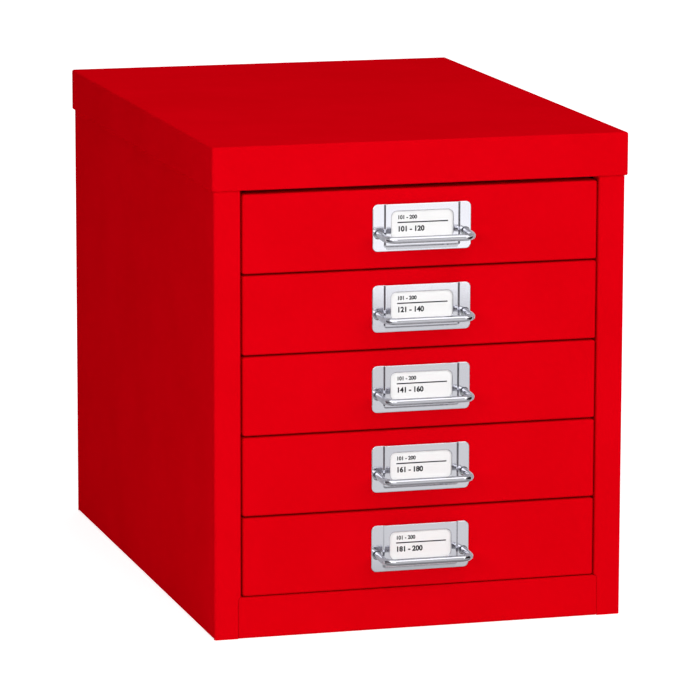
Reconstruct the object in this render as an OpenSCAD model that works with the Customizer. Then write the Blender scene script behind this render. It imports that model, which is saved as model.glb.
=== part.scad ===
// Small sheet-steel desktop cabinet with five shallow drawers, each with a card-holder pull.
// Origin: middle of the whole object's box, on the floor. The front faces -Y.

/* [Cabinet] */
// Width over the side panels
body_w = 279; // [272:1:300]
// Depth from the faces of the stiles to the rear flanges
body_d = 404; // [385:1:450]
// Steel sheet of the carcass
sheet = 0.9; // [0.7:0.1:1.2]
// Inner radius of every bend
bend_r = 0.6; // [0.4:0.1:0.8]
// Width of each front stile
stile_w = 18; // [16:0.5:22]
// Depth of the stile's return lip
stile_lip = 12; // [8:0.5:13]
// Width of the rear flanges
rear_flange = 15; // [8:1:20]
// Width of the top and bottom flanges
level_flange = 12; // [8:0.5:14]
// Relief left open at each flange corner
relief = 1; // [0.5:0.1:2]

/* [Cap] */
// Height of the fascia and of the other three cap flanges
fascia_h = 28.7; // [24:0.1:36]
// Cap overhang on each side
cap_side = 1.5; // [1.2:0.1:3]
// Cap overhang at the front
cap_front = 2; // [1.2:0.1:3]
// Cap overhang at the rear
cap_rear = 2; // [1.2:0.1:3]
// Depth of the flanges of the header rail behind the fascia
header_flange = 15; // [10:1:20]
// Height of the header rail's lower edge above the fascia's
header_rise = 1.2; // [0.5:0.1:4]

/* [Plinth] */
// Height of the plinth rail
plinth_h = 27.5; // [22:0.1:34]
// How far the plinth rail reaches past the opening on each side
plinth_ear = 1.7; // [1:0.1:4]
// Depth of the plinth rail's top flange
plinth_top = 20; // [14:1:21]
// Depth of the plinth rail's bottom flange
plinth_foot = 12; // [8:1:16]
// Lip at the back of the plinth rail's top flange
plinth_lip = 6; // [4:0.5:10]
// Height of the base panel's front and rear flanges
base_flange = 12; // [8:1:18]

/* [Drawers] */
// Height of a drawer front
front_h = 51.9; // [51:0.1:60]
// Gap between one drawer front and the next
front_gap = 1.4; // [0.8:0.1:3]
// Gap between a drawer front and each stile
side_gap = 1.25; // [0.8:0.05:1.4]
// Gap over the plinth rail
plinth_gap = 0.8; // [0.5:0.1:2]
// Gap under the fascia
fascia_gap = 2.9; // [1:0.1:5]
// Depth of a drawer front's folded edges
front_depth = 14; // [13:0.5:15]
// Steel sheet of the drawer fronts
front_sheet = 0.8; // [0.6:0.1:1]
// Steel sheet of the trays
tray_sheet = 0.7; // [0.6:0.1:0.8]
// Clear depth between the tray's rear wall and the back panel
tray_back_gap = 14; // [6:1:30]
// Height of the tray floor above the front's lower edge
tray_rise = 1.5; // [1:0.1:3]
// Distance from the front's upper edge down to the tray's flange top
tray_drop = 6.2; // [5.4:0.1:12]
// Width of the tray's hooked flange, over wall and hook
hook_w = 4.8; // [4.5:0.1:5.5]
// Height of the hook
hook_h = 4.7; // [4:0.1:6]
// How far a drawer pulls out
drawer_travel = 283; // [220:1:300]
// Height of the stop lugs and stop tabs
lug_h = 1.1; // [0.9:0.1:1.6]
// Length of a lug
lug_l = 6; // [4:1:10]

/* [Runners] */
// Running clearance between a drawer and its runners
run_clear = 0.3; // [0.2:0.05:0.4]
// Side clearance between the hook and the runner's web
web_clear = 0.5; // [0.3:0.05:0.6]
// Clearance between the runner's lips and the tray's wall
lip_clear = 0.4; // [0.3:0.05:0.6]
// Distance from the runners' rear ends to the back panel
runner_back_gap = 6; // [2:1:15]
// Width of an upright's crown
upright_crown = 24; // [16:1:30]
// Width of an upright's feet
upright_foot = 9; // [6:0.5:12]
// Distance of the front uprights from the stile faces
upright_front = 22; // [21.5:0.5:60]
// Distance of the rear uprights from the back panel
upright_rear = 18; // [8:1:60]

/* [Label plate] */
// Width of the label plate
plate_w = 66.6; // [66:0.1:80]
// Height of the label plate
plate_h = 31; // [28:0.1:36]
// Metal of the label plate
plate_t = 0.8; // [0.6:0.1:1]
// Corner radius of the label plate
plate_r = 3.5; // [2:0.1:5]
// How far the plate sits above the middle of the drawer front
plate_lift = 0.6; // [0:0.1:3]
// Width of the raised card pocket
pocket_w = 50.5; // [48:0.1:51]
// How far the pocket stands forward
pocket_out = 1; // [0.8:0.1:1.6]
// Margin of plate below the pocket
pocket_margin = 3.2; // [1.5:0.1:3.5]
// Width of the window
window_w = 42; // [36:0.1:43]
// Height of the window
window_h = 18.5; // [16:0.1:20]
// Distance from the plate's top edge to the window
window_drop = 4.6; // [3.5:0.1:5]
// Corner radius of the window
window_r = 3.8; // [2:0.1:5]
// Thickness of the card
card_t = 0.3; // [0.2:0.05:0.4]
// Clearance around the card in its pocket
card_clear = 0.3; // [0.2:0.05:0.5]
// How far the card's top edge lies below the plate's
card_drop = 1.6; // [0.5:0.1:2.5]

/* [Pull] */
// Diameter of the pull's rod
rod_d = 4.5; // [3.5:0.1:5]
// Width of the pull over its rod
pull_w = 63.6; // [62.6:0.1:65]
// How far the pull reaches out from the drawer front
pull_reach = 24; // [18:0.5:30]
// Radius of the pull's corners, to the middle of the rod
pull_r = 7.2; // [4:0.1:10]
// Height of the pull's bar above the plate's lower edge
pull_rise = 10.6; // [8:0.1:12]
// Angle at which the pull slopes down from the drawer front
arm_dip = 3; // [0:0.5:4]
// Length of rod inside the drawer front
rod_tail = 4; // [3:0.5:6]
// Clearance beside the rod in the plate and the front
hole_clear = 0.6; // [0.3:0.05:0.7]
// Clearance above the rod there, where the rod hangs high in its hole
hole_clear_top = 0.15; // [0.1:0.05:0.3]
// Diameter of the push nuts
nut_d = 10; // [8:0.5:11]
// Thickness of the push nuts
nut_t = 0.6; // [0.4:0.1:1]
// Clearance between the rod and the push nut
nut_clear = 0.05; // [0.02:0.01:0.1]

/* [Hidden] */
$fn = 48;
CARCASS = ["top_cover", "left_side_panel", "right_side_panel", "back_panel", "base_panel",
    "plinth_rail", "header_rail", "left_front_upright", "right_front_upright",
    "left_rear_upright", "right_rear_upright"];
DRAWER = ["tray", "front", "label_plate", "pull", "card", "push_nuts", "left_runner",
    "right_runner"];
drawer_count = 5;

LEFT_TURN = 1;
RIGHT_TURN = -1;
LEFT = -1;
RIGHT = 1;
CUT = 1;
RED = "#e2000f";
ZINC = "#b4b8bb";
CHROME = "#d6d8dc";

// Heights
tray_h = front_h - tray_rise - tray_drop;
drawer_pitch = front_h + front_gap;
drawers_h = drawer_count * drawer_pitch - front_gap;
fascia_z = plinth_h + plinth_gap + drawers_h + fascia_gap;
cabinet_h = fascia_z + fascia_h;
cap_under_z = cabinet_h - sheet;
header_z = fascia_z + header_rise;
base_z = sheet;
base_top_z = base_z + sheet;

// Places across the cabinet
wall_x = body_w / 2 - sheet;
opening_w = body_w - 2 * stile_w;
front_w = opening_w - 2 * side_gap;
runner_x = opening_w / 2;
upright_deep = wall_x - runner_x;
hook_x = runner_x - sheet - web_clear;
tray_x = hook_x - hook_w + tray_sheet;
runner_lip = runner_x - tray_x - lip_clear;

// Places from front to rear, measured from the faces of the stiles
back_y = body_d - 2 * sheet;
runner_y = front_depth + run_clear;
runner_l = back_y - runner_back_gap - runner_y;
tray_back_y = back_y - tray_back_gap;
upright_l = upright_crown + 2 * (upright_foot - sheet);
rear_upright_y = back_y - upright_rear - upright_l;

// The runner channel around the hook and its lugs
hook_z = tray_rise + tray_h - hook_h;
runner_z = hook_z - run_clear - sheet;
runner_h = 2 * sheet + 2 * run_clear + hook_h + lug_h;
stop_lug_y = runner_y + sheet + drawer_travel + run_clear;

// The label plate and the pull, measured from a drawer front's lower edge
plate_z = (front_h - plate_h) / 2 + plate_lift;
pocket_z = plate_z + pocket_margin;
pull_z = plate_z + pull_rise;
pull_x = (pull_w - rod_d) / 2;
bar_y = rod_d / 2 - pull_reach;
tail_y = front_sheet + rod_tail;
window_z = plate_z + plate_h - window_drop - window_h;

// The whole object is centred front to rear, pulls and cap included
face_y = pull_reach - (pull_reach + body_d + cap_rear) / 2;

function drawer_node(n, part) = str("drawer_", n, "_", part);
// Height of drawer n's lower edge; drawer 1 is the top one
function drawer_z(n) = plinth_h + plinth_gap + (drawer_count - n) * drawer_pitch;
// Height of the middle of the pull's arms at a distance y behind the drawer front's face
function arm_z(y) = pull_z + (y - bar_y) * tan(arm_dip);

// Helpers -------------------------------------------------------------------------------

// Carries a piece from the stile faces, where it is measured, to its place
module at_face() {
    translate([0, face_y, 0]) children();
}

// Carries a piece of drawer n to its place
module at_drawer(n) {
    translate([0, face_y, drawer_z(n)]) children();
}

// Mirrors a right-hand piece for the left-hand side
module on_side(side) {
    mirror([side == LEFT ? 1 : 0, 0, 0]) children();
}

// Extrudes a Y-Z section equally to both sides
module along_x(length) {
    rotate([90, 0, 90]) linear_extrude(length, center = true) children();
}

// Extrudes an X-Z section towards the rear
module along_y(length) {
    translate([0, length, 0]) rotate([90, 0, 0]) linear_extrude(length) children();
}

// A box given by its lowest corner and its size
module block(at, size) {
    translate(at) cube(size);
}

// A quarter of the bend of a sheet, in the first quadrant
module bend(t) {
    intersection() {
        difference() {
            circle(bend_r + t);
            circle(bend_r);
        }
        square(bend_r + t);
    }
}

// A folded sheet on edge. It starts along +X with its metal on the left of the path. Each size
// is measured over the outer faces, and turns says which way each bend goes.
module fold(sizes, turns, t, i = 0) {
    bends = (i > 0 ? 1 : 0) + (i < len(turns) ? 1 : 0);
    run = sizes[i] - bends * (bend_r + t);
    square([run, t]);
    if (i < len(turns)) {
        left = turns[i] == LEFT_TURN;
        centre = [run, left ? bend_r + t : -bend_r];
        translate(centre) rotate(left ? -90 : 0) bend(t);
        translate(centre + [left ? bend_r + t : bend_r, 0]) rotate(turns[i] * 90)
            fold(sizes, turns, t, i + 1);
    }
}

// A rectangle with round corners, about the origin
module round_rect(w, h, r) {
    square([w - 2 * r, h], center = true);
    square([w, h - 2 * r], center = true);
    for (x = [-1, 1]) for (y = [-1, 1])
        translate([x * (w / 2 - r), y * (h / 2 - r)]) circle(r);
}

// The side view of a pan: two round corners at the top, square ones at the bottom
module pan_side(w, depth, r) {
    translate([-w / 2, -depth]) square([w, depth - r]);
    translate([-w / 2 + r, -r]) square([w - 2 * r, r]);
    for (x = [-1, 1])
        translate([x * (w / 2 - r), -r]) circle(r);
}

// A shallow pan folded from sheet, its face on z = 0 and its four walls going down
module folded_pan(w, h, depth, t) {
    r = bend_r + t;
    difference() {
        intersection() {
            translate([0, 0, -depth]) linear_extrude(depth) round_rect(w, h, r);
            along_x(w) pan_side(h, depth, r);
            translate([0, -h / 2, 0]) along_y(h) pan_side(w, depth, r);
        }
        block([t - w / 2, t - h / 2, -depth - CUT], [w - 2 * t, h - 2 * t, depth + CUT - t]);
    }
}

// Carcass -------------------------------------------------------------------------------

// Cap with four flanges; a return lip along their lower edges closes them on the body
module top_cover() {
    cap_w = body_w + 2 * cap_side;
    cap_d = body_d + cap_front + cap_rear;
    middle_y = (body_d + cap_rear - cap_front) / 2;
    color(RED) at_face() {
        translate([0, middle_y, cabinet_h]) folded_pan(cap_w, cap_d, fascia_h, sheet);
        difference() {
            translate([0, middle_y, fascia_z]) linear_extrude(sheet)
                round_rect(cap_w, cap_d, bend_r + sheet);
            block([-body_w / 2, 0, fascia_z - CUT], [body_w, body_d, sheet + 2 * CUT]);
        }
    }
}

// Side panel with its stile, return lip, rear flange and top and bottom flanges. The foot of
// the stile is notched for the plinth rail.
module side_panel(side) {
    notch_x = opening_w / 2 + plinth_ear + run_clear;
    flange_l = body_d - 2 * (sheet + relief);
    color(RED) at_face() on_side(side) {
        difference() {
            linear_extrude(cap_under_z)
                translate([opening_w / 2, stile_lip]) rotate(-90)
                    fold([stile_lip, stile_w, body_d, rear_flange],
                        [LEFT_TURN, LEFT_TURN, LEFT_TURN], sheet);
            block([opening_w / 2 - CUT, -CUT, -CUT],
                [notch_x - opening_w / 2 + CUT, stile_lip + 2 * CUT, plinth_h + run_clear + CUT]);
            block([opening_w / 2 - CUT, sheet, fascia_z],
                [stile_w - sheet, stile_lip, cabinet_h]);
        }
        for (z = [0, cap_under_z - sheet])
            block([body_w / 2 - level_flange, sheet + relief, z],
                [level_flange - sheet, flange_l, sheet]);
    }
}

// Back panel between the side panels, against the inner faces of their rear flanges. Its top
// edge is folded forward under the cap.
module back_panel() {
    panel_w = 2 * (wall_x - bend_r);
    flange_w = body_w - 2 * level_flange - 2 * run_clear;
    color(RED) at_face() {
        block([-panel_w / 2, back_y, base_top_z],
            [panel_w, sheet, cap_under_z - sheet - base_top_z - run_clear]);
        block([-flange_w / 2, back_y, cap_under_z - 2 * sheet], [flange_w, sheet, 2 * sheet]);
        block([-flange_w / 2, back_y - level_flange, cap_under_z - sheet],
            [flange_w, level_flange, sheet]);
    }
}

// Base panel on the bottom flanges, turned up behind the plinth and at the back panel
module base_panel() {
    color(RED) at_face()
        along_x(2 * (wall_x - bend_r))
            translate([sheet, base_z + base_flange]) rotate(-90)
                fold([base_flange, back_y - sheet, base_flange], [LEFT_TURN, LEFT_TURN], sheet);
}

// Plinth rail between the stiles, its ears in their notches
module plinth_rail() {
    color(RED) at_face()
        along_x(opening_w + 2 * plinth_ear)
            translate([plinth_top, plinth_h - plinth_lip]) rotate(90)
                fold([plinth_lip, plinth_top, plinth_h, plinth_foot],
                    [LEFT_TURN, LEFT_TURN, LEFT_TURN], sheet);
}

// Header rail behind the stiles and the fascia
module header_rail() {
    header_w = body_w - 2 * level_flange - 2 * run_clear;
    color(RED) at_face()
        along_x(header_w)
            translate([sheet + header_flange, cap_under_z]) rotate(180)
                fold([header_flange, cap_under_z - header_z, header_flange],
                    [LEFT_TURN, LEFT_TURN], sheet);
}

// Upright that carries the runners: a hat section on the side panel
module upright(side, y) {
    color(ZINC) at_face() on_side(side)
        translate([wall_x, y, base_top_z]) linear_extrude(header_z - base_top_z) rotate(90)
            fold([upright_foot, upright_deep, upright_crown, upright_deep, upright_foot],
                [LEFT_TURN, RIGHT_TURN, RIGHT_TURN, LEFT_TURN], sheet);
}

// Drawer n's runner: a channel on the uprights with a stop tab at its front end
module runner(n, side) {
    tab_h = runner_z + runner_h - sheet;
    color(ZINC) at_drawer(n) on_side(side) {
        translate([runner_x - runner_lip, runner_y, runner_z]) along_y(runner_l)
            fold([runner_lip, runner_h, runner_lip], [LEFT_TURN, LEFT_TURN], sheet);
        block([runner_x - runner_lip, runner_y, tab_h - lug_h],
            [runner_lip - sheet, sheet, lug_h + sheet / 2]);
    }
}

// Drawers -------------------------------------------------------------------------------

// Tray: floor and sides folded from one sheet, with hooked flanges, and two end walls
module tray(n) {
    in_w = 2 * (tray_x - tray_sheet);
    in_front_w = front_w - 2 * front_sheet;
    lug_x = hook_x - hook_w / 2 - lug_h;
    color(RED) at_drawer(n) {
        translate([tray_sheet - hook_x, front_depth, hook_z])
            along_y(tray_back_y - front_depth) rotate(90)
                fold([hook_h, hook_w, tray_h, 2 * tray_x, tray_h, hook_w, hook_h],
                    [RIGHT_TURN, RIGHT_TURN, LEFT_TURN, LEFT_TURN, RIGHT_TURN, RIGHT_TURN],
                    tray_sheet);
        block([-in_front_w / 2, front_depth - tray_sheet, front_sheet],
            [in_front_w, tray_sheet, front_h - 2 * front_sheet]);
        block([-in_w / 2, tray_back_y - tray_sheet, tray_rise + tray_sheet / 2],
            [in_w, tray_sheet, tray_h - tray_sheet / 2]);
        for (side = [LEFT, RIGHT]) for (y = [stop_lug_y, tray_back_y - lug_l])
            on_side(side) block([lug_x, y, tray_rise + tray_h - tray_sheet / 2],
                [2 * lug_h, lug_l, lug_h + tray_sheet / 2]);
    }
}

// Drawer front: a folded pan with two holes for the pull's rod
module front(n) {
    color(RED) at_drawer(n)
        difference() {
            translate([0, 0, front_h / 2]) rotate([90, 0, 0])
                folded_pan(front_w, front_h, front_depth, front_sheet);
            rod_holes(front_sheet);
        }
}

// The two holes that the pull's rod goes through, in the plane of the drawer front
module rod_holes(t) {
    for (side = [LEFT, RIGHT])
        translate([side * pull_x, t + CUT, arm_z(0) + hole_clear_top - hole_clear])
            rotate([90, 0, 0])
                cylinder(h = t + pocket_out + 2 * CUT, r = rod_d / 2 + hole_clear);
}

// Label plate: flat wings on the drawer front and a raised card pocket, open at the top
module label_plate(n) {
    wall_h = plate_h - pocket_margin;
    color(CHROME) at_drawer(n)
        difference() {
            union() {
                difference() {
                    translate([0, -plate_t, plate_z + plate_h / 2]) along_y(plate_t)
                        round_rect(plate_w, plate_h, plate_r);
                    block([-pocket_w / 2, -plate_t - CUT, pocket_z],
                        [pocket_w, plate_t + 2 * CUT, plate_h]);
                }
                block([-pocket_w / 2, -plate_t - pocket_out, pocket_z],
                    [pocket_w, plate_t, wall_h]);
                for (x = [-pocket_w / 2, pocket_w / 2 - plate_t])
                    block([x, -plate_t - pocket_out, pocket_z],
                        [plate_t, plate_t + pocket_out, wall_h]);
                block([-pocket_w / 2, -plate_t - pocket_out, pocket_z],
                    [pocket_w, plate_t + pocket_out, plate_t]);
            }
            translate([0, -plate_t - pocket_out - CUT, window_z + window_h / 2])
                along_y(plate_t + 2 * CUT) round_rect(window_w, window_h, window_r);
            rod_holes(front_sheet);
        }
}

// Pull: a loop of round rod that slopes a little, its two tails through the plate and the front
module pull(n) {
    arm_l = (tail_y - bar_y) / cos(arm_dip) - pull_r;
    color(CHROME) at_drawer(n) translate([0, bar_y, pull_z]) rotate([arm_dip, 0, 0]) {
        translate([pull_r - pull_x, 0, 0]) rotate([0, 90, 0])
            cylinder(h = 2 * (pull_x - pull_r), d = rod_d);
        for (side = [LEFT, RIGHT]) on_side(side) {
            translate([pull_x - pull_r, pull_r, 0]) rotate(-90)
                rotate_extrude(angle = 90) translate([pull_r, 0]) circle(d = rod_d);
            translate([pull_x, pull_r + arm_l, 0]) rotate([90, 0, 0])
                cylinder(h = arm_l, d = rod_d);
        }
    }
}

// Card in the pocket
module card(n) {
    card_w = pocket_w - 2 * plate_t - 2 * card_clear;
    card_z = pocket_z + plate_t;
    color("white") at_drawer(n)
        block([-card_w / 2, -(pocket_out + card_t) / 2, card_z],
            [card_w, card_t, plate_z + plate_h - card_drop - card_z]);
}

// The two push nuts that hold the rod's tails behind the drawer front
module push_nuts(n) {
    nut_y = front_sheet + nut_t / 2;
    color(ZINC) at_drawer(n)
        for (side = [LEFT, RIGHT])
            translate([side * pull_x, front_sheet + nut_t, arm_z(nut_y)]) rotate([90, 0, 0])
                difference() {
                    cylinder(h = nut_t, d = nut_d);
                    translate([0, 0, -CUT])
                        cylinder(h = nut_t + 2 * CUT, r = rod_d / 2 + nut_clear);
                }
}

// Nodes ---------------------------------------------------------------------------------

top_cover();
side_panel(LEFT);  // left_side_panel
side_panel(RIGHT);  // right_side_panel
back_panel();
base_panel();
plinth_rail();
header_rail();
upright(LEFT, upright_front);  // left_front_upright
upright(RIGHT, upright_front);  // right_front_upright
upright(LEFT, rear_upright_y);  // left_rear_upright
upright(RIGHT, rear_upright_y);  // right_rear_upright
for (n = [1 : drawer_count]) {
    runner(n, LEFT);
    runner(n, RIGHT);
    tray(n);
    front(n);
    label_plate(n);
    pull(n);
    card(n);
    push_nuts(n);
}
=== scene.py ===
"""Dresses a small sheet-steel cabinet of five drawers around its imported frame.

Each section makes one piece, or one group of like pieces, in the order in which the cabinet is
put together. Places come from the frame's boxes. Lengths are in metres, and the cabinet's own are
written as a size times MM.
"""
import math

import bmesh
import bpy
from mathutils import Matrix, Vector


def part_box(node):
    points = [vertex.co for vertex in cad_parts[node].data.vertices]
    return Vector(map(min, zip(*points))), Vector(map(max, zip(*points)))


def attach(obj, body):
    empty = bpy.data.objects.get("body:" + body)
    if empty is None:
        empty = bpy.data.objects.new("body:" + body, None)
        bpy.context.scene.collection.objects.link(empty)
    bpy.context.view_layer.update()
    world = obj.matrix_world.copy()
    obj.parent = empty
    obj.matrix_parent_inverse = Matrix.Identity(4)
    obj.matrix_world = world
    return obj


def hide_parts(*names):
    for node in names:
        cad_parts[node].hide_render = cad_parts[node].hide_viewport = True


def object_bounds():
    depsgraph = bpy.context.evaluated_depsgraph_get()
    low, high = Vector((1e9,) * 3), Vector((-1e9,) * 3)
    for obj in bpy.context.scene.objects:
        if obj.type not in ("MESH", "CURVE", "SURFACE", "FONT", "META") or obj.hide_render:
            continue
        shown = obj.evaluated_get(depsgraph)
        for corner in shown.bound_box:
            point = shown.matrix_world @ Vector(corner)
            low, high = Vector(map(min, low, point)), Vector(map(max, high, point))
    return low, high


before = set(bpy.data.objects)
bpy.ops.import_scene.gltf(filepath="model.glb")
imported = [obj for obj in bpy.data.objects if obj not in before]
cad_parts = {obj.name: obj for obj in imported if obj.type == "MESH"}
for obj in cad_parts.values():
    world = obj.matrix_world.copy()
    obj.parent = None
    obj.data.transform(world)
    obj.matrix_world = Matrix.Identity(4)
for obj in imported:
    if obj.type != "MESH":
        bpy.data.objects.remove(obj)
cad_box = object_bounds()
MM = 0.001

# Camera --------------------------------------------------------------------------------
# A long lens stands to the left of the cabinet and a little above it, so that the front,
# the left side and the top show, with almost parallel edges.

camera_place = Vector((-0.8777, -3.0780, 0.7567))
camera_turn = math.radians(-16.03)
camera_dip = math.radians(10.71)
camera_lean = math.radians(0.166)
camera = bpy.data.objects.new("camera", bpy.data.cameras.new("camera"))
camera.data.sensor_width = 36
camera.data.lens = 241.8
camera.matrix_world = (
    Matrix.Translation(camera_place)
    @ Matrix.Rotation(camera_turn, 4, "Z")
    @ Matrix.Rotation(math.radians(90) - camera_dip, 4, "X")
    @ Matrix.Rotation(camera_lean, 4, "Z")
)
scene = bpy.context.scene
scene.collection.objects.link(camera)
scene.camera = camera
scene.view_settings.view_transform = "Standard"

# Studio --------------------------------------------------------------------------------
# A white floor, a white room, and soft lamps before, beside and above the cabinet. Cards that
# only polished metal sees stand around its front: dark ones at the sides to draw edges, white
# ones above to draw bright lines, and a grey one on the table.


def linear(colour):
    """The linear colour, with alpha, of an sRGB hex value such as #ff8000."""
    shares = [int(colour[i : i + 2], 16) / 255 for i in (1, 3, 5)]
    return [s / 12.92 if s <= 0.04045 else ((s + 0.055) / 1.055) ** 2.4 for s in shares] + [1.0]


def add_node(tree, kind, inputs=None, **settings):
    """Adds a node with its settings, and sets each input to a value or links it to a socket."""
    node = tree.nodes.new(kind)
    for name, value in settings.items():
        setattr(node, name, value)
    for name, value in (inputs or {}).items():
        if isinstance(value, bpy.types.NodeSocket):
            tree.links.new(value, node.inputs[name])
        else:
            node.inputs[name].default_value = value
    return node


def new_material(name):
    """An empty node material."""
    material = bpy.data.materials.new(name)
    material.use_nodes = True
    material.node_tree.nodes.clear()
    return material


def seen_directly(tree):
    """A socket that is 1 for rays from the camera, from metal and through glass, and else 0."""
    path = add_node(tree, "ShaderNodeLightPath")
    shown = add_node(tree, "ShaderNodeMath",
        {0: path.outputs["Is Camera Ray"], 1: path.outputs["Is Glossy Ray"]}, operation="MAXIMUM")
    shown = add_node(tree, "ShaderNodeMath",
        {0: shown.outputs[0], 1: path.outputs["Is Transmission Ray"]}, operation="MAXIMUM")
    return shown.outputs[0]


def stage_plane(name, size, material, place):
    """A flat sheet of the studio, which isn't part of the object."""
    across, along = size[0] / 2, size[1] / 2
    mesh = bpy.data.meshes.new(name)
    corners = [(-across, -along, 0), (across, -along, 0), (across, along, 0), (-across, along, 0)]
    mesh.from_pydata(corners, [], [(0, 1, 2, 3)])
    mesh.materials.append(material)
    plane = bpy.data.objects.new(name, mesh)
    plane.matrix_world = place
    scene.collection.objects.link(plane)
    return plane


def seamless_paper():
    """White background paper: matt, and bright enough to the eye to have no edge."""
    paper_colour = "#f2f2f2"
    near = 0.3
    far = 1.5
    near_lift = 0.68
    far_lift = 0.86
    material = new_material("seamless_paper")
    tree = material.node_tree
    matt = add_node(tree, "ShaderNodeBsdfDiffuse", {"Color": linear(paper_colour)})
    place = add_node(tree, "ShaderNodeTexCoord").outputs["Object"]
    away = add_node(tree, "ShaderNodeVectorMath", {0: place}, operation="LENGTH")
    lift = add_node(tree, "ShaderNodeMapRange",
        {"Value": away.outputs["Value"], "From Min": near, "From Max": far,
         "To Min": near_lift, "To Max": far_lift})
    glow = add_node(tree, "ShaderNodeMath",
        {0: seen_directly(tree), 1: lift.outputs[0]}, operation="MULTIPLY")
    light = add_node(tree, "ShaderNodeEmission", {"Strength": glow.outputs[0]})
    both = add_node(tree, "ShaderNodeAddShader", {0: matt.outputs[0], 1: light.outputs[0]})
    add_node(tree, "ShaderNodeOutputMaterial", {"Surface": both.outputs[0]})
    return material


def dark_card(colour):
    """Matt grey card, which a polished bend shows as a thin dark line."""
    material = new_material("dark_card")
    tree = material.node_tree
    matt = add_node(tree, "ShaderNodeBsdfDiffuse", {"Color": linear(colour)})
    add_node(tree, "ShaderNodeOutputMaterial", {"Surface": matt.outputs[0]})
    return material


def white_card(name, brightness):
    """White card lit from behind, which a round rod shows as the bright line along its top."""
    material = new_material(name)
    tree = material.node_tree
    light = add_node(tree, "ShaderNodeEmission", {"Strength": brightness})
    add_node(tree, "ShaderNodeOutputMaterial", {"Surface": light.outputs[0]})
    return material


def grey_card(reach):
    """Glowing grey card on the table, which polished metal shows as its middle tone. It falls off
    to a darker grey in the last of its reach towards the cabinet: painted shade of the cabinet's
    foot."""
    open_grey = 1.02
    painted_foot_shade = 0.3
    shade = 0.2
    material = new_material("grey_card")
    tree = material.node_tree
    place = add_node(tree, "ShaderNodeTexCoord").outputs["Object"]
    along = add_node(tree, "ShaderNodeSeparateXYZ", {"Vector": place})
    # Painted shade: the card's glow drops towards the cabinet's foot.
    level = add_node(tree, "ShaderNodeMapRange",
        {"Value": along.outputs["Y"], "From Min": reach / 2 - shade, "From Max": reach / 2,
         "To Min": open_grey, "To Max": painted_foot_shade})
    light = add_node(tree, "ShaderNodeEmission", {"Strength": level.outputs[0]})
    add_node(tree, "ShaderNodeOutputMaterial", {"Surface": light.outputs[0]})
    return material


floor_w = 7
stage_plane("floor", (floor_w, floor_w), seamless_paper(), Matrix())

room_light = 0.27
wall_light = 1.0
ceiling_light = 0.35
wall_top = 0.3
ceiling_start = 0.9
world = bpy.data.worlds.new("white_room")
world.use_nodes = True
world.node_tree.nodes.clear()
direction = add_node(world.node_tree, "ShaderNodeTexCoord").outputs["Generated"]
height = add_node(world.node_tree, "ShaderNodeSeparateXYZ", {"Vector": direction})
wall = add_node(world.node_tree, "ShaderNodeMapRange",
    {"Value": height.outputs["Z"], "From Min": wall_top, "From Max": ceiling_start,
     "To Min": wall_light, "To Max": ceiling_light})
strength = add_node(world.node_tree, "ShaderNodeMapRange",
    {"Value": seen_directly(world.node_tree), "To Min": room_light, "To Max": wall.outputs[0]})
background = add_node(world.node_tree, "ShaderNodeBackground",
    {"Color": linear("#ffffff"), "Strength": strength.outputs[0]})
add_node(world.node_tree, "ShaderNodeOutputWorld", {"Surface": background.outputs[0]})
scene.world = world

object_middle = (cad_box[0] + cad_box[1]) / 2


def softbox(name, place, size, watts):
    """A square area lamp that looks at the middle of the cabinet."""
    lamp = bpy.data.objects.new(name, bpy.data.lights.new(name, "AREA"))
    lamp.data.shape = "SQUARE"
    lamp.data.size = size
    lamp.data.energy = watts
    lamp.location = place
    lamp.rotation_euler = (object_middle - lamp.location).to_track_quat("-Z", "Y").to_euler()
    scene.collection.objects.link(lamp)
    return lamp


key = softbox("key_softbox", Vector((0.6, -3.8, 2.8)), size=3.6, watts=84)
key.visible_glossy = False
softbox("left_softbox", Vector((-0.95, -1.25, 0.75)), size=0.8, watts=5.2)
softbox("right_softbox", Vector((0.95, -1.25, 0.75)), size=0.8, watts=3.4)
softbox("overhead_softbox", Vector((0, 0.3, 2.5)), size=1.5, watts=10)

boards = []
flag_size = (0.3, 0.38)
flag_out, flag_y, flag_z = 0.3, -0.39, 0.16
for side, colour in ((-1, "#8c8c90"), (1, "#464648")):
    flag_place = Matrix.Translation((side * flag_out, flag_y, flag_z)) @ Matrix.Rotation(
        math.radians(90), 4, "Y")
    boards.append(stage_plane("dark_flag", flag_size, dark_card(colour), flag_place))

table_w = 3.0
table_reach = 1.2
table_under = 0.02
table_x, table_z = 0.3, 0.002
table_start = cad_box[0].y + table_under
boards.append(stage_plane("grey_table_card", (table_w, table_reach), grey_card(table_reach),
    Matrix.Translation((table_x, table_start - table_reach / 2, table_z))))

lid_size = (3.0, 1.7)
lid_brightness = 2.5
lid_tilt = math.radians(30)
lid_place = Matrix.Translation((0, -1.2, 1.9)) @ Matrix.Rotation(lid_tilt, 4, "X")
boards.append(stage_plane("white_lid_card", lid_size, white_card("lid_card", lid_brightness),
    lid_place))

bounce_size = (0.9, 0.55)
bounce_brightness = 3.6
bounce_place = Matrix.Translation((-0.35, -2.1, 0.76)) @ Matrix.Rotation(
    math.radians(90), 4, "X")
boards.append(stage_plane("white_bounce_card", bounce_size,
    white_card("bounce_card", bounce_brightness), bounce_place))

for board in boards:
    board.visible_camera = False
    board.visible_diffuse = False
    board.visible_shadow = False

# Side panels ---------------------------------------------------------------------------
# Each side is one sheet of 0.9 mm steel: the wall, the stile with its return lip, and the
# rear flange, bent on a press brake. The foot of the stile is notched for the plinth, and
# the wall's lower and upper edges are turned in.

sheet = 0.9 * MM
bend_inside = 0.6 * MM
stile_lip = 12 * MM
rear_flange = 15 * MM
level_flange = 12 * MM
corner_relief = 1 * MM
ear_radius = 2 * MM
ear_clearance = 0.3 * MM
BEND_STEPS = 8


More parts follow.
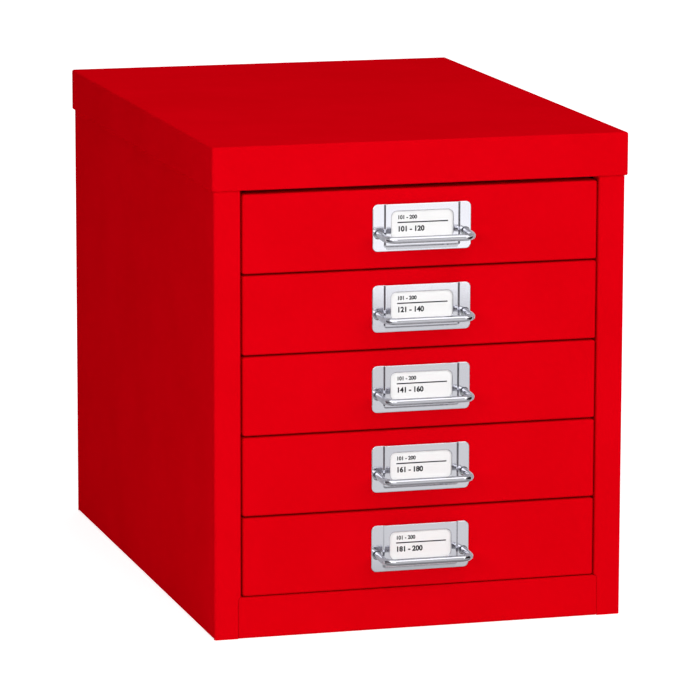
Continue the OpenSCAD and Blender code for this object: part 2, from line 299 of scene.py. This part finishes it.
def per_metre(size):
    """The scale at which a noise texture has features of this size."""
    return 1 / size


def powder_coat():
    """Red polyester powder coat, sprayed dry and baked on. It is even and satin, with the faint
    orange peel of flowed powder, and it takes almost no white sheen from the room. For rays from
    polished metal its colour is switched to a pale neutral, a painted reflection, so that the
    chrome beside it stays neutral."""
    painted_reflection_grey = "#e0e0e4"
    peel_size = 1.6 * MM
    peel_height = 0.006 * MM
    cloud_size = 60 * MM
    smoothest, roughest = 0.42, 0.5
    material = new_material("powder_coat_red")
    tree = material.node_tree
    place = add_node(tree, "ShaderNodeTexCoord").outputs["Object"]
    cloud = add_node(tree, "ShaderNodeTexNoise",
        {"Vector": place, "Scale": per_metre(cloud_size), "Detail": 3.0})
    colour = add_node(tree, "ShaderNodeValToRGB", {"Fac": cloud.outputs["Fac"]})
    colour.color_ramp.elements[0].position = 0.35
    colour.color_ramp.elements[0].color = linear("#df000e")
    colour.color_ramp.elements[1].position = 0.65
    colour.color_ramp.elements[1].color = linear("#e40010")
    # Painted reflection: rays from polished metal see a pale neutral here instead of the red.
    shown = add_node(tree, "ShaderNodeMixRGB",
        {"Fac": add_node(tree, "ShaderNodeLightPath").outputs["Is Glossy Ray"],
         "Color1": colour.outputs["Color"], "Color2": linear(painted_reflection_grey)})
    gloss = add_node(tree, "ShaderNodeMapRange",
        {"Value": cloud.outputs["Fac"], "To Min": smoothest, "To Max": roughest})
    peel = add_node(tree, "ShaderNodeTexNoise",
        {"Vector": place, "Scale": per_metre(peel_size), "Detail": 1.5})
    bump = add_node(tree, "ShaderNodeBump",
        {"Height": peel.outputs["Fac"], "Distance": peel_height, "Strength": 1.0})
    coat = add_node(tree, "ShaderNodeBsdfPrincipled",
        {"Base Color": shown.outputs["Color"], "Roughness": gloss.outputs[0],
         "Specular IOR Level": 0.0, "Normal": bump.outputs["Normal"]})
    add_node(tree, "ShaderNodeOutputMaterial", {"Surface": coat.outputs[0]})
    return material


RED_COAT = powder_coat()


def sweep_tree(name, profile, sizes):
    """A node tree that rounds the corners of a path and carries a profile along it. sizes gives
    the profile's sockets and the names of the inputs that they take their values from."""
    tree = bpy.data.node_groups.new(name, "GeometryNodeTree")
    tree.interface.new_socket("Path", in_out="INPUT", socket_type="NodeSocketGeometry")
    for size in ("Bend", *sizes.values()):
        tree.interface.new_socket(size, in_out="INPUT", socket_type="NodeSocketFloat")
    tree.interface.new_socket("Steps", in_out="INPUT", socket_type="NodeSocketInt")
    tree.interface.new_socket("Finish", in_out="INPUT", socket_type="NodeSocketMaterial")
    tree.interface.new_socket("Piece", in_out="OUTPUT", socket_type="NodeSocketGeometry")
    given = add_node(tree, "NodeGroupInput").outputs
    line = add_node(tree, "GeometryNodeMeshToCurve", {"Mesh": given["Path"]})
    bent = add_node(tree, "GeometryNodeFilletCurve",
        {"Curve": line.outputs[0], "Radius": given["Bend"], "Count": given["Steps"]}, mode="POLY")
    level = add_node(tree, "GeometryNodeSetCurveNormal", {"Curve": bent.outputs[0]}, mode="Z_UP")
    section = add_node(tree, profile,
        {socket: given[size] for socket, size in sizes.items()})
    swept = add_node(tree, "GeometryNodeCurveToMesh",
        {"Curve": level.outputs[0], "Profile Curve": section.outputs["Curve"], "Fill Caps": True})
    real = add_node(tree, "GeometryNodeRealizeInstances", {"Geometry": swept.outputs[0]})
    dressed = add_node(tree, "GeometryNodeSetMaterial",
        {"Geometry": real.outputs[0], "Material": given["Finish"]})
    add_node(tree, "NodeGroupOutput", {"Piece": dressed.outputs[0]})
    return tree


def settle(piece):
    """Turns what a piece's modifiers make into its plain mesh."""
    graph = bpy.context.evaluated_depsgraph_get()
    finished = bpy.data.meshes.new_from_object(
        piece.evaluated_get(graph), preserve_all_data_layers=True, depsgraph=graph)
    piece.modifiers.clear()
    piece.data = finished
    finished.name = piece.name


def mend_mesh(piece, place=None):
    """Merges a piece's doubles, turns its faces outwards and moves its mesh to its place."""
    merge_reach = 0.002 * MM
    mesh = bmesh.new()
    mesh.from_mesh(piece.data)
    bmesh.ops.remove_doubles(mesh, verts=mesh.verts, dist=merge_reach)
    bmesh.ops.recalc_face_normals(mesh, faces=mesh.faces)
    mesh.to_mesh(piece.data)
    mesh.free()
    if place is not None:
        piece.data.transform(place)


def sweep(name, tree, path, place, **sizes):
    """A piece made by a sweep tree along a path in plan, then carried to its place."""
    mesh = bpy.data.meshes.new(name)
    mesh.from_pydata(path, [(i, i + 1) for i in range(len(path) - 1)], [])
    piece = bpy.data.objects.new(name, mesh)
    scene.collection.objects.link(piece)
    maker = piece.modifiers.new("sweep", "NODES")
    maker.node_group = tree
    for item in tree.interface.items_tree:
        if item.in_out == "INPUT" and item.name in sizes:
            maker[item.identifier] = sizes[item.name]
    settle(piece)
    mend_mesh(piece, place)
    return piece


FOLDED_SHEET = sweep_tree("folded_sheet", "GeometryNodeCurvePrimitiveQuadrilateral",
    {"Width": "Sheet", "Height": "Length"})


def folded(name, path, length, place):
    """Coated steel sheet folded along a path, with its length along the folds."""
    flat_path = [(x, y, 0) for x, y in path]
    return sweep(name, FOLDED_SHEET, flat_path, place, Bend=bend_inside + sheet / 2,
        Sheet=sheet, Length=length, Steps=BEND_STEPS, Finish=RED_COAT)


def loft(name, loops, material):
    """A closed skin over a row of loops that have equally many points, with both ends filled."""
    mesh = bmesh.new()
    rows = [[mesh.verts.new(point) for point in loop] for loop in loops]
    for row, following in zip(rows, rows[1:]):
        for i in range(len(row)):
            mesh.faces.new((row[i - 1], row[i], following[i], following[i - 1]))
    mesh.faces.new(rows[0])
    mesh.faces.new(reversed(rows[-1]))
    skin = bpy.data.meshes.new(name)
    mesh.to_mesh(skin)
    mesh.free()
    skin.materials.append(material)
    piece = bpy.data.objects.new(name, skin)
    scene.collection.objects.link(piece)
    mend_mesh(piece)
    return piece


def rounded_loop(width, height, radius, level=0.0, steps=BEND_STEPS):
    """A rectangle with round corners about the origin, as points at one level."""
    radius = max(radius, 0.0)
    quarter = math.pi / 2
    loop = []
    for corner, (x, y) in enumerate(((1, 1), (-1, 1), (-1, -1), (1, -1))):
        middle_x = x * (width / 2 - radius)
        middle_y = y * (height / 2 - radius)
        for step in range(steps + 1):
            angle = (corner + step / steps) * quarter
            loop.append((middle_x + radius * math.cos(angle),
                middle_y + radius * math.sin(angle), level))
    return loop


def prism(name, loop, low, high, material=RED_COAT):
    """A closed block of an outline, from one level to another."""
    levels = [[(x, y, level) for x, y, _ in loop] for level in (low, high)]
    return loft(name, levels, material)


def cut(piece, *tools, operation="DIFFERENCE"):
    """Takes the tools' shapes out of a piece, or with INTERSECT keeps only what lies in them."""
    for tool in tools:
        knife = piece.modifiers.new("cut", "BOOLEAN")
        knife.operation = operation
        knife.solver = "EXACT"
        knife.object = tool
    settle(piece)
    for tool in tools:
        bpy.data.objects.remove(tool)
    mend_mesh(piece)


def gather(piece, *others):
    """Adds other closed shells to a piece."""
    mesh = bmesh.new()
    for part in (piece, *others):
        mesh.from_mesh(part.data)
    mesh.to_mesh(piece.data)
    mesh.free()
    for part in others:
        bpy.data.objects.remove(part)


def smooth(piece, ease=0.0):
    """Shades a piece's bends smooth and its flats flat, and eases its cut edges."""
    sharp_from = math.radians(35)
    ease_from = math.radians(50)
    piece.data.shade_smooth()
    piece.data.set_sharp_from_angle(angle=sharp_from)
    if ease:
        round_over = piece.modifiers.new("ease", "BEVEL")
        round_over.width = ease
        round_over.segments = 2
        round_over.limit_method = "ANGLE"
        round_over.angle_limit = ease_from
        round_over.use_clamp_overlap = False
        round_over.harden_normals = True
    even = piece.modifiers.new("even", "WEIGHTED_NORMAL")
    even.keep_sharp = True
    settle(piece)


def fit(piece, body, slot, *nodes):
    """Puts a finished piece on its body in place of the frame's plain nodes."""
    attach(piece, body)
    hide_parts(*nodes)


def upright_at(x, y, z):
    """Carries what is drawn flat, with its height along Y, to an upright place facing the front."""
    return Matrix.Translation((x, y, z)) @ Matrix.Rotation(math.radians(90), 4, "X")


plinth_low, plinth_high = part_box("plinth_rail")
plinth_w = plinth_high.x - plinth_low.x
plinth_h = plinth_high.z


def plinth_outline(growth):
    """The plinth's front outline, its ears' upper corners round, grown by a clearance."""
    width = plinth_w + 2 * growth
    height = 2 * (plinth_h + growth)
    return rounded_loop(width, height, ear_radius + growth)


def side_panel(name, side):
    """One side of the carcass. side is -1 on the left and 1 on the right."""
    low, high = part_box(name)
    wall = high.x if side > 0 else -low.x
    opening = low.x if side > 0 else -high.x
    half = sheet / 2
    path = [(opening + half, low.y + stile_lip), (opening + half, low.y + half),
        (wall - half, low.y + half), (wall - half, high.y - half),
        (wall - rear_flange, high.y - half)]
    height = high.z - low.z
    panel = folded(name + "_shell", [(side * x, y) for x, y in path], height,
        Matrix.Translation((0, 0, low.z + height / 2)))
    notch = prism("notch", plinth_outline(ear_clearance), -stile_lip * 2, stile_lip * 2)
    notch.data.transform(upright_at(0, low.y, 0))
    fascia_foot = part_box("top_cover")[0].z
    stub = sheet + bend_inside / 2
    lip_top = prism("lip_top", rounded_loop(2 * (opening + 2 * sheet), stile_lip, 0), 0, high.z)
    lip_top.data.transform(Matrix.Translation((0, low.y + stub + stile_lip / 2, fascia_foot)))
    tools = [notch, lip_top]
    flanges = []
    flange_l = high.y - low.y - 2 * (sheet + corner_relief)
    middle_y = (low.y + high.y) / 2
    for edge, turn in ((low.z, 1), (high.z, -1)):
        corner = [(wall - half, edge + turn * 2 * sheet), (wall - half, edge + turn * half),
            (wall - level_flange, edge + turn * half)]
        flanges.append(folded("flange", [(side * x, z) for x, z in corner], flange_l,
            upright_at(0, middle_y, 0)))
        slot = prism("slot", rounded_loop(4 * sheet, flange_l, 0), -2 * sheet, 2 * sheet)
        slot.data.transform(Matrix.Translation((side * wall, middle_y, edge)))
        tools.append(slot)
    cut(panel, *tools)
    gather(panel, *flanges)
    smooth(panel)
    fit(panel, "carcass", "red_paint", name)


side_panel("left_side_panel", -1)
side_panel("right_side_panel", 1)

# Back, base and header -----------------------------------------------------------------
# The back panel, the base panel and the header rail are plain folded sheets that are spot
# welded between the sides. They keep the frame's shapes and take the same coat.


def dress(name, material):
    """Gives one of the frame's own nodes its finish."""
    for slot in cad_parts[name].material_slots:
        slot.material = material


for name in ("back_panel", "base_panel", "header_rail"):
    dress(name, RED_COAT)

# Uprights and runners ------------------------------------------------------------------
# Hat-section uprights are spot welded inside the sides, and each carries five pairs of
# runners. All are rolled from zinc-plated strip and left bare, so that they slide.


def zinc_plate():
    """Electroplated zinc strip: a soft grey metal with a faint spangle and roller lines."""
    spangle_size = 7 * MM
    line_size = 0.8 * MM
    drawn_out = (1.0, 0.02, 1.0)
    smoothest, roughest = 0.3, 0.48
    material = new_material("zinc_plated_strip")
    tree = material.node_tree
    place = add_node(tree, "ShaderNodeTexCoord").outputs["Object"]
    spangle = add_node(tree, "ShaderNodeTexVoronoi",
        {"Vector": place, "Scale": per_metre(spangle_size)})
    colour = add_node(tree, "ShaderNodeValToRGB", {"Fac": spangle.outputs["Color"]})
    colour.color_ramp.elements[0].color = linear("#a4a8ab")
    colour.color_ramp.elements[1].color = linear("#bcc0c3")
    drawn = add_node(tree, "ShaderNodeMapping", {"Vector": place, "Scale": drawn_out})
    lines = add_node(tree, "ShaderNodeTexNoise",
        {"Vector": drawn.outputs[0], "Scale": per_metre(line_size), "Detail": 2.0})
    gloss = add_node(tree, "ShaderNodeMapRange",
        {"Value": lines.outputs["Fac"], "To Min": smoothest, "To Max": roughest})
    metal = add_node(tree, "ShaderNodeBsdfPrincipled",
        {"Base Color": colour.outputs["Color"], "Roughness": gloss.outputs[0], "Metallic": 1.0})
    add_node(tree, "ShaderNodeOutputMaterial", {"Surface": metal.outputs[0]})
    return material


ZINC = zinc_plate()
DRAWERS = range(1, 6)
for end in ("front", "rear"):
    for side in ("left", "right"):
        dress(f"{side}_{end}_upright", ZINC)
for n in DRAWERS:
    for side in ("left", "right"):
        dress(f"drawer_{n}_{side}_runner", ZINC)

# Plinth rail ---------------------------------------------------------------------------
# The rail under the drawers is folded into a channel, and its two round-cornered ears lie
# in the notches at the feet of the stiles, flush with them.

plinth_lip = 6 * MM
plinth_top = 20 * MM
plinth_foot = 12 * MM


def plinth():
    """The plinth rail, drawn in side view and turned to lie across the cabinet."""
    front, half = plinth_low.y, sheet / 2
    path = [(front + plinth_top - half, plinth_h - plinth_lip),
        (front + plinth_top - half, plinth_h - half), (front + half, plinth_h - half),
        (front + half, half), (front + plinth_foot, half)]
    across = Matrix(((0, 0, 1, 0), (1, 0, 0, 0), (0, 1, 0, 0), (0, 0, 0, 1)))
    rail = folded("plinth_rail_shell", path, plinth_w, across)
    trim = prism("trim", plinth_outline(0), -plinth_top, 2 * sheet)
    trim.data.transform(upright_at(0, front, 0))
    cut(rail, trim, operation="INTERSECT")
    smooth(rail)
    fit(rail, "carcass", "red_paint", "plinth_rail")


plinth()

# Cap -----------------------------------------------------------------------------------
# The cap is a pan with four deep flanges, its corners welded and dressed round. The front
# flange is the plain fascia. A narrow lip along the flanges' lower edges closes on the body.

cap_foot_r = 1 * MM
body_gap = 0.1 * MM


def pan_loops(width, height, depth, steel, foot_r=0.0, lip=(0.0, 0.0)):
    """The loops of a pan from the rim of its flat face, at level 0, over its edge and down its
    walls, round the foot and its lip if it has one, and back up inside."""
    outer = bend_inside + steel
    steps = [step / BEND_STEPS * math.pi / 2 for step in range(BEND_STEPS + 1)]
    turns = [(outer * (1 - math.sin(a)), -outer * (1 - math.cos(a))) for a in steps]
    if foot_r:
        turns += [(foot_r * (1 - math.cos(a)), -depth + foot_r * (1 - math.sin(a))) for a in steps]
    else:
        turns.append((0.0, -depth))
    loops = [rounded_loop(width - 2 * inset, height - 2 * inset, outer - inset, level)
        for inset, level in turns]
    if foot_r:
        for level in (-depth, -depth + steel):
            loops.append(rounded_loop(width - 2 * lip[0], height - 2 * lip[1], 0.0, level))
        turns = [(steel, -depth + steel)]
    else:
        turns = [(steel, -depth)]
    turns += [(steel + bend_inside * (1 - math.sin(a)), -steel - bend_inside * (1 - math.cos(a)))
        for a in reversed(steps)]
    loops += [rounded_loop(width - 2 * inset, height - 2 * inset, outer - inset, level)
        for inset, level in turns]
    return loops


def cap():
    """The cap, made face up."""
    low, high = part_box("top_cover")
    body_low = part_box("left_side_panel")[0]
    lip = (body_low.x - low.x - body_gap, body_low.y - low.y - body_gap)
    loops = pan_loops(high.x - low.x, high.y - low.y, high.z - low.z, sheet, cap_foot_r, lip)
    shell = loft("top_cover_shell", loops, RED_COAT)
    shell.data.transform(Matrix.Translation(((low.x + high.x) / 2, (low.y + high.y) / 2, high.z)))
    smooth(shell)
    fit(shell, "carcass", "red_paint", "top_cover")


cap()

# Drawer trays --------------------------------------------------------------------------
# Each tray is folded from thinner sheet, with hooked flanges along its sides that ride in
# the runners, and it is coated with the rest.

for n in DRAWERS:
    dress(f"drawer_{n}_tray", RED_COAT)

# Drawer fronts -------------------------------------------------------------------------
# Each front is a shallow pan of 0.8 mm steel with tight corners, welded over its tray, and
# pierced twice for the ends of the pull, which slopes down a little from where it goes in.

front_sheet = 0.8 * MM
rod_r = 2.25 * MM
arm_dip = math.radians(3)
rod_play = 0.6 * MM
rod_play_above = 0.15 * MM
HOLE_STEPS = 8


def bar_end(n):
    """The place where the middle lines of the bar and the right arm of drawer n's pull meet."""
    low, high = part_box(f"drawer_{n}_pull")
    return Vector((high.x - rod_r, low.y + rod_r, low.z + rod_r))


def rod_holes(n, low, high, place):
    """Round blocks around the two ends of drawer n's pull, drawn flat and carried to a place."""
    across = 2 * (rod_r + rod_play)
    end = bar_end(n)
    arm_z = end.z + (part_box(f"drawer_{n}_front")[0].y - end.y) * math.tan(arm_dip)
    tools = []
    for side in (-1, 1):
        tool = prism("hole", rounded_loop(across, across, across / 2, steps=HOLE_STEPS), low, high)
        tool.data.transform(upright_at(side * end.x, place, arm_z - rod_play + rod_play_above))
        tools.append(tool)
    return tools


def drawer_front(n):
    """The front of drawer n, made face up and then stood upright."""
    node = f"drawer_{n}_front"
    low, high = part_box(node)
    loops = pan_loops(high.x - low.x, high.z - low.z, high.y - low.y, front_sheet)
    face = loft(f"drawer_{n}_face", loops, RED_COAT)
    face.data.transform(upright_at((low.x + high.x) / 2, low.y, (low.z + high.z) / 2))
    cut(face, *rod_holes(n, -3 * front_sheet, front_sheet, low.y))
    smooth(face)
    fit(face, f"drawer_{n}", "red_paint", node)


for n in DRAWERS:
    drawer_front(n)

# Label plates --------------------------------------------------------------------------
# Each plate is pressed from 0.8 mm steel and chromed. Its middle is set forward to make a
# pocket that is open at the top, with a round-cornered window over the card.

plate_t = 0.8 * MM
plate_r = 3.5 * MM
pocket_w = 50.5 * MM
pocket_margin = 3.2 * MM
pocket_r = 1.5 * MM
joggle = 1.6 * MM
window_w = 42 * MM
window_h = 18.5 * MM
window_drop = 4.6 * MM
window_r = 3.8 * MM
plate_ease = 0.3 * MM
JOGGLE_CUTS = 8


def chrome_plate(name, colour):
    """Bright chrome over pressed or drawn steel: a cool mirror, very slightly wavy."""
    wave_size = 9 * MM
    wave_height = 0.004 * MM
    smoothest, roughest = 0.05, 0.12
    material = new_material(name)
    tree = material.node_tree
    place = add_node(tree, "ShaderNodeTexCoord").outputs["Object"]
    wave = add_node(tree, "ShaderNodeTexNoise",
        {"Vector": place, "Scale": per_metre(wave_size), "Detail": 2.0})
    bump = add_node(tree, "ShaderNodeBump",
        {"Height": wave.outputs["Fac"], "Distance": wave_height, "Strength": 1.0})
    gloss = add_node(tree, "ShaderNodeMapRange",
        {"Value": wave.outputs["Fac"], "To Min": smoothest, "To Max": roughest})
    metal = add_node(tree, "ShaderNodeBsdfPrincipled",
        {"Base Color": linear(colour), "Roughness": gloss.outputs[0], "Metallic": 1.0,
         "Normal": bump.outputs["Normal"]})
    add_node(tree, "ShaderNodeOutputMaterial", {"Surface": metal.outputs[0]})
    return material


CHROME = chrome_plate("bright_chrome_plate", "#c8c8cf")


def ramp(share):
    """A smooth step from 0 to 1."""
    share = min(max(share, 0.0), 1.0)
    return share * share * (3 - 2 * share)


def press_pocket(piece, half_w, foot, depth):
    """Sets the middle of a flat plate forward by depth, above its foot and between two joggles."""
    mesh = bmesh.new()
    mesh.from_mesh(piece.data)
    steps = [i / JOGGLE_CUTS for i in range(JOGGLE_CUTS + 1)]
    reach = joggle + pocket_r
    cuts = [(Vector((side * (half_w - reach * s + joggle / 2), 0, 0)), Vector((1, 0, 0)))
        for side in (-1, 1) for s in steps]
    cuts += [(Vector((0, foot + reach * s - joggle / 2, 0)), Vector((0, 1, 0))) for s in steps]
    for point, normal in cuts:
        everything = [*mesh.verts, *mesh.edges, *mesh.faces]
        bmesh.ops.bisect_plane(mesh, geom=everything, plane_co=point, plane_no=normal)
    for vert in mesh.verts:
        inside_x = half_w - pocket_r - abs(vert.co.x)
        inside_y = vert.co.y - foot - pocket_r
        if inside_x < 0 and inside_y < 0:
            inside = pocket_r - math.hypot(inside_x, inside_y)
        else:
            inside = pocket_r + min(inside_x, inside_y)
        vert.co.z += depth * ramp(inside / joggle + 0.5)
    mesh.to_mesh(piece.data)
    mesh.free()


def label_plate(n):
    """The label plate of drawer n, drawn flat, pierced, pressed and stood against its front."""
    node = f"drawer_{n}_label_plate"
    low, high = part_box(node)
    width, height = high.x - low.x, high.z - low.z
    plate = prism(f"drawer_{n}_card_holder", rounded_loop(width, height, plate_r), 0, plate_t,
        CHROME)
    window = prism("window", rounded_loop(window_w, window_h, window_r), -plate_t, 2 * plate_t,
        CHROME)
    window.data.transform(Matrix.Translation((0, (height - window_h) / 2 - window_drop, 0)))
    middle = (low.z + high.z) / 2
    holes = rod_holes(n, -2 * plate_t, 2 * plate_t, high.y)
    to_flat = upright_at(0, high.y, middle).inverted()
    for hole in holes:
        hole.data.transform(to_flat)
    cut(plate, window, *holes)
    press_pocket(plate, pocket_w / 2, pocket_margin - height / 2, high.y - low.y - plate_t)
    plate.data.transform(upright_at(0, high.y, middle))
    smooth(plate, plate_ease)
    fit(plate, f"drawer_{n}", "chrome_plate", node)


for n in DRAWERS:
    label_plate(n)

# Cards ---------------------------------------------------------------------------------
# A white index card stands in each pocket. It is ruled once, and printed with the plain
# numbers of what lies in the cabinet and, below the rule, in the drawer.

card_r = 0.4 * MM
ink_t = 0.02 * MM
rule_h = 0.8 * MM
rule_w = 34.3 * MM
small_type = 3.4 * MM
large_type = 4.7 * MM
bold = 0.045
print_inset = 4.4 * MM
heading_drop = 5.4 * MM
rule_drop = 7.7 * MM
number_drop = 13.5 * MM
first_number = 101
numbers_each = 20
last_number = first_number + len(DRAWERS) * numbers_each - 1
CARD_STEPS = 3


def index_card():
    """Uncoated white card: matt, with fine paper fibre."""
    fibre_size = 0.35 * MM
    fibre_height = 0.005 * MM
    material = new_material("white_index_card")
    tree = material.node_tree
    place = add_node(tree, "ShaderNodeTexCoord").outputs["Object"]
    fibre = add_node(tree, "ShaderNodeTexNoise",
        {"Vector": place, "Scale": per_metre(fibre_size), "Detail": 4.0})
    colour = add_node(tree, "ShaderNodeValToRGB", {"Fac": fibre.outputs["Fac"]})
    colour.color_ramp.elements[0].color = linear("#fdfdfd")
    colour.color_ramp.elements[1].color = linear("#ffffff")
    bump = add_node(tree, "ShaderNodeBump",
        {"Height": fibre.outputs["Fac"], "Distance": fibre_height, "Strength": 0.5})
    paper = add_node(tree, "ShaderNodeBsdfPrincipled",
        {"Base Color": colour.outputs["Color"], "Roughness": 0.9, "Specular IOR Level": 0.2,
         "Normal": bump.outputs["Normal"]})
    add_node(tree, "ShaderNodeOutputMaterial", {"Surface": paper.outputs[0]})
    return material


def printing_ink():
    """Dark toner that lies matt on the card, a little uneven where it meets the fibre."""
    grain_size = 0.2 * MM
    material = new_material("dark_toner")
    tree = material.node_tree
    place = add_node(tree, "ShaderNodeTexCoord").outputs["Object"]
    grain = add_node(tree, "ShaderNodeTexNoise",
        {"Vector": place, "Scale": per_metre(grain_size)})
    colour = add_node(tree, "ShaderNodeValToRGB", {"Fac": grain.outputs["Fac"]})
    colour.color_ramp.elements[0].color = linear("#101014")
    colour.color_ramp.elements[1].color = linear("#202026")
    ink = add_node(tree, "ShaderNodeBsdfPrincipled",
        {"Base Color": colour.outputs["Color"], "Roughness": 0.7, "Specular IOR Level": 0.2})
    add_node(tree, "ShaderNodeOutputMaterial", {"Surface": ink.outputs[0]})
    return material


CARD = index_card()
INK = printing_ink()


def type_line(words, size, x, y):
    """One line of type in the plane of the card. A bevel makes its strokes bold, and the mesh is
    then pressed as thin as the ink."""
    swell = bold * size
    curve = bpy.data.curves.new("type", "FONT")
    curve.body = words
    curve.size = size
    curve.bevel_depth = swell
    curve.bevel_resolution = 0
    line = bpy.data.objects.new("type", curve)
    scene.collection.objects.link(line)
    graph = bpy.context.evaluated_depsgraph_get()
    mesh = bpy.data.meshes.new_from_object(line.evaluated_get(graph))
    bpy.data.objects.remove(line)
    mesh.transform(Matrix.Diagonal((1, 1, ink_t / (2 * swell), 1)))
    mesh.transform(Matrix.Translation((x, y, ink_t / 2)))
    return mesh


def card(n):
    """The card of drawer n and its print."""
    node = f"drawer_{n}_card"
    low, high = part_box(node)
    width, height = high.x - low.x, high.z - low.z
    outline = rounded_loop(width, height, card_r, steps=CARD_STEPS)
    blank = prism(f"drawer_{n}_index_card", outline, 0, high.y - low.y, CARD)
    blank.data.transform(upright_at(0, high.y, (low.z + high.z) / 2))
    smooth(blank)
    fit(blank, f"drawer_{n}", "card", node)

    window_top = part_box(f"drawer_{n}_label_plate")[1].z - window_drop
    left = -window_w / 2 + print_inset
    start = first_number + (n - 1) * numbers_each
    meshes = [type_line(f"{first_number} - {last_number}", small_type, left, -heading_drop),
        type_line(f"{start} - {start + numbers_each - 1}", large_type, left, -number_drop)]
    rule = prism("rule", rounded_loop(rule_w, rule_h, 0), 0, ink_t, INK)
    rule.data.transform(Matrix.Translation((left + rule_w / 2, -rule_drop, 0)))
    joined = bmesh.new()
    for mesh in (*meshes, rule.data):
        joined.from_mesh(mesh)
    bpy.data.objects.remove(rule)
    ink_mesh = bpy.data.meshes.new(f"drawer_{n}_index_print")
    joined.to_mesh(ink_mesh)
    joined.free()
    ink_mesh.materials.append(INK)
    ink = bpy.data.objects.new(f"drawer_{n}_index_print", ink_mesh)
    scene.collection.objects.link(ink)
    mend_mesh(ink, upright_at(0, low.y, window_top))
    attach(ink, f"drawer_{n}")


for n in DRAWERS:
    card(n)

# Pulls ---------------------------------------------------------------------------------
# Each pull is one length of chromed round rod, bent twice. Its ends pass through the plate
# and the front, and push nuts hold them from behind.

pull_bend = 7.2 * MM
PULL_STEPS = 12
ROD_CHROME = chrome_plate("chromed_drawn_rod", "#b2b2b8")
BENT_ROD = sweep_tree("bent_rod", "GeometryNodeCurvePrimitiveCircle", {"Radius": "Rod"})


def pull(n):
    """The pull of drawer n, bent level along its middle line and then tilted about its bar."""
    node = f"drawer_{n}_pull"
    end = bar_end(n)
    arm = (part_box(node)[1].y - rod_r * math.sin(arm_dip) - end.y) / math.cos(arm_dip)
    path = [(-end.x, arm, 0), (-end.x, 0, 0), (end.x, 0, 0), (end.x, arm, 0)]
    tilt = Matrix.Translation((0, end.y, end.z)) @ Matrix.Rotation(arm_dip, 4, "X")
    rod = sweep(f"drawer_{n}_pull_rod", BENT_ROD, path, tilt, Bend=pull_bend, Rod=rod_r,
        Steps=PULL_STEPS, Finish=ROD_CHROME)
    smooth(rod)
    fit(rod, f"drawer_{n}", "chrome_plate", node)


for n in DRAWERS:
    pull(n)
    dress(f"drawer_{n}_push_nuts", ZINC)
